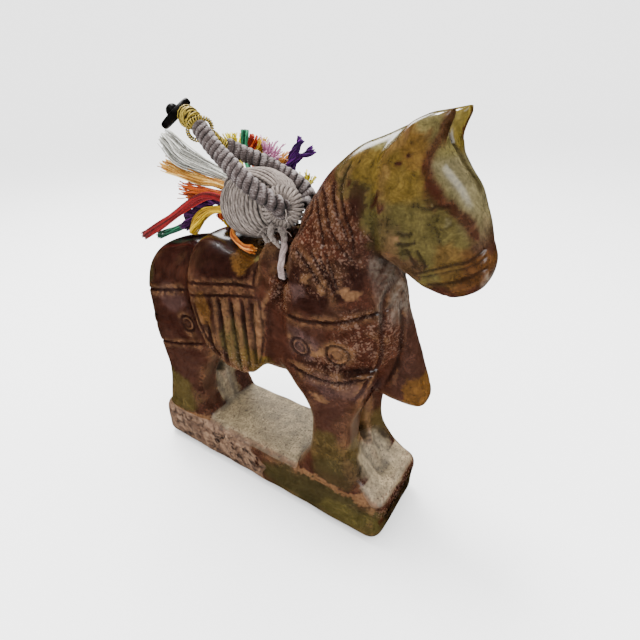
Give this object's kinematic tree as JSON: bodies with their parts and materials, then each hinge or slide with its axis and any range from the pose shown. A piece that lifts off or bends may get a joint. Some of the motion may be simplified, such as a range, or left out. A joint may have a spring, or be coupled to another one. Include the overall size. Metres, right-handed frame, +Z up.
{
  "type": "carved horse figure",
  "caption": "Carved jade horse standing on its own plinth, saddled, with a knotted grey cord, a button strap and a bright yarn tassel through a hole at the withers.",
  "frame": {"origin": "on the plinth underside, below the middle of its top", "axes": "+X the way the horse faces, +Y its left flank, +Z up"},
  "size_m": [0.1245, 0.0312, 0.1294],
  "materials": {
    "jade": "polished opaque jade, brown and olive with a tan crust",
    "grey_cord": "matt twisted cord",
    "gold_thread": "metallic thread",
    "button": "semi-gloss black",
    "yarn_silver": "soft yarn",
    "yarn_orange": "soft yarn",
    "yarn_red": "soft yarn",
    "yarn_purple": "soft yarn",
    "yarn_yellow": "soft yarn",
    "yarn_green": "soft yarn",
    "yarn_pink": "soft yarn"
  },
  "bodies": {
    "root": {"horse": "jade", "carrying_cord": "grey_cord", "knot": "grey_cord", "strap_near": "grey_cord", "strap_far": "grey_cord", "gold_neck": "gold_thread", "gold_loop": "gold_thread", "button": "button", "yarn_silver": "yarn_silver", "yarn_peach": "yarn_orange", "yarn_orange": "yarn_orange", "yarn_red": "yarn_red", "yarn_purple": "yarn_purple", "yarn_yellow": "yarn_yellow", "yarn_red_short": "yarn_red", "yarn_yellow_short": "yarn_yellow", "yarn_green": "yarn_green", "yarn_seat_orange": "yarn_orange", "yarn_far_yellow": "yarn_yellow", "yarn_far_green": "yarn_green", "yarn_far_red": "yarn_red", "yarn_far_gold": "yarn_yellow", "yarn_far_pink": "yarn_pink", "yarn_far_orange": "yarn_orange", "yarn_far_purple": "yarn_purple", "yarn_far_lemon": "yarn_yellow"}
  },
  "joints": []
}
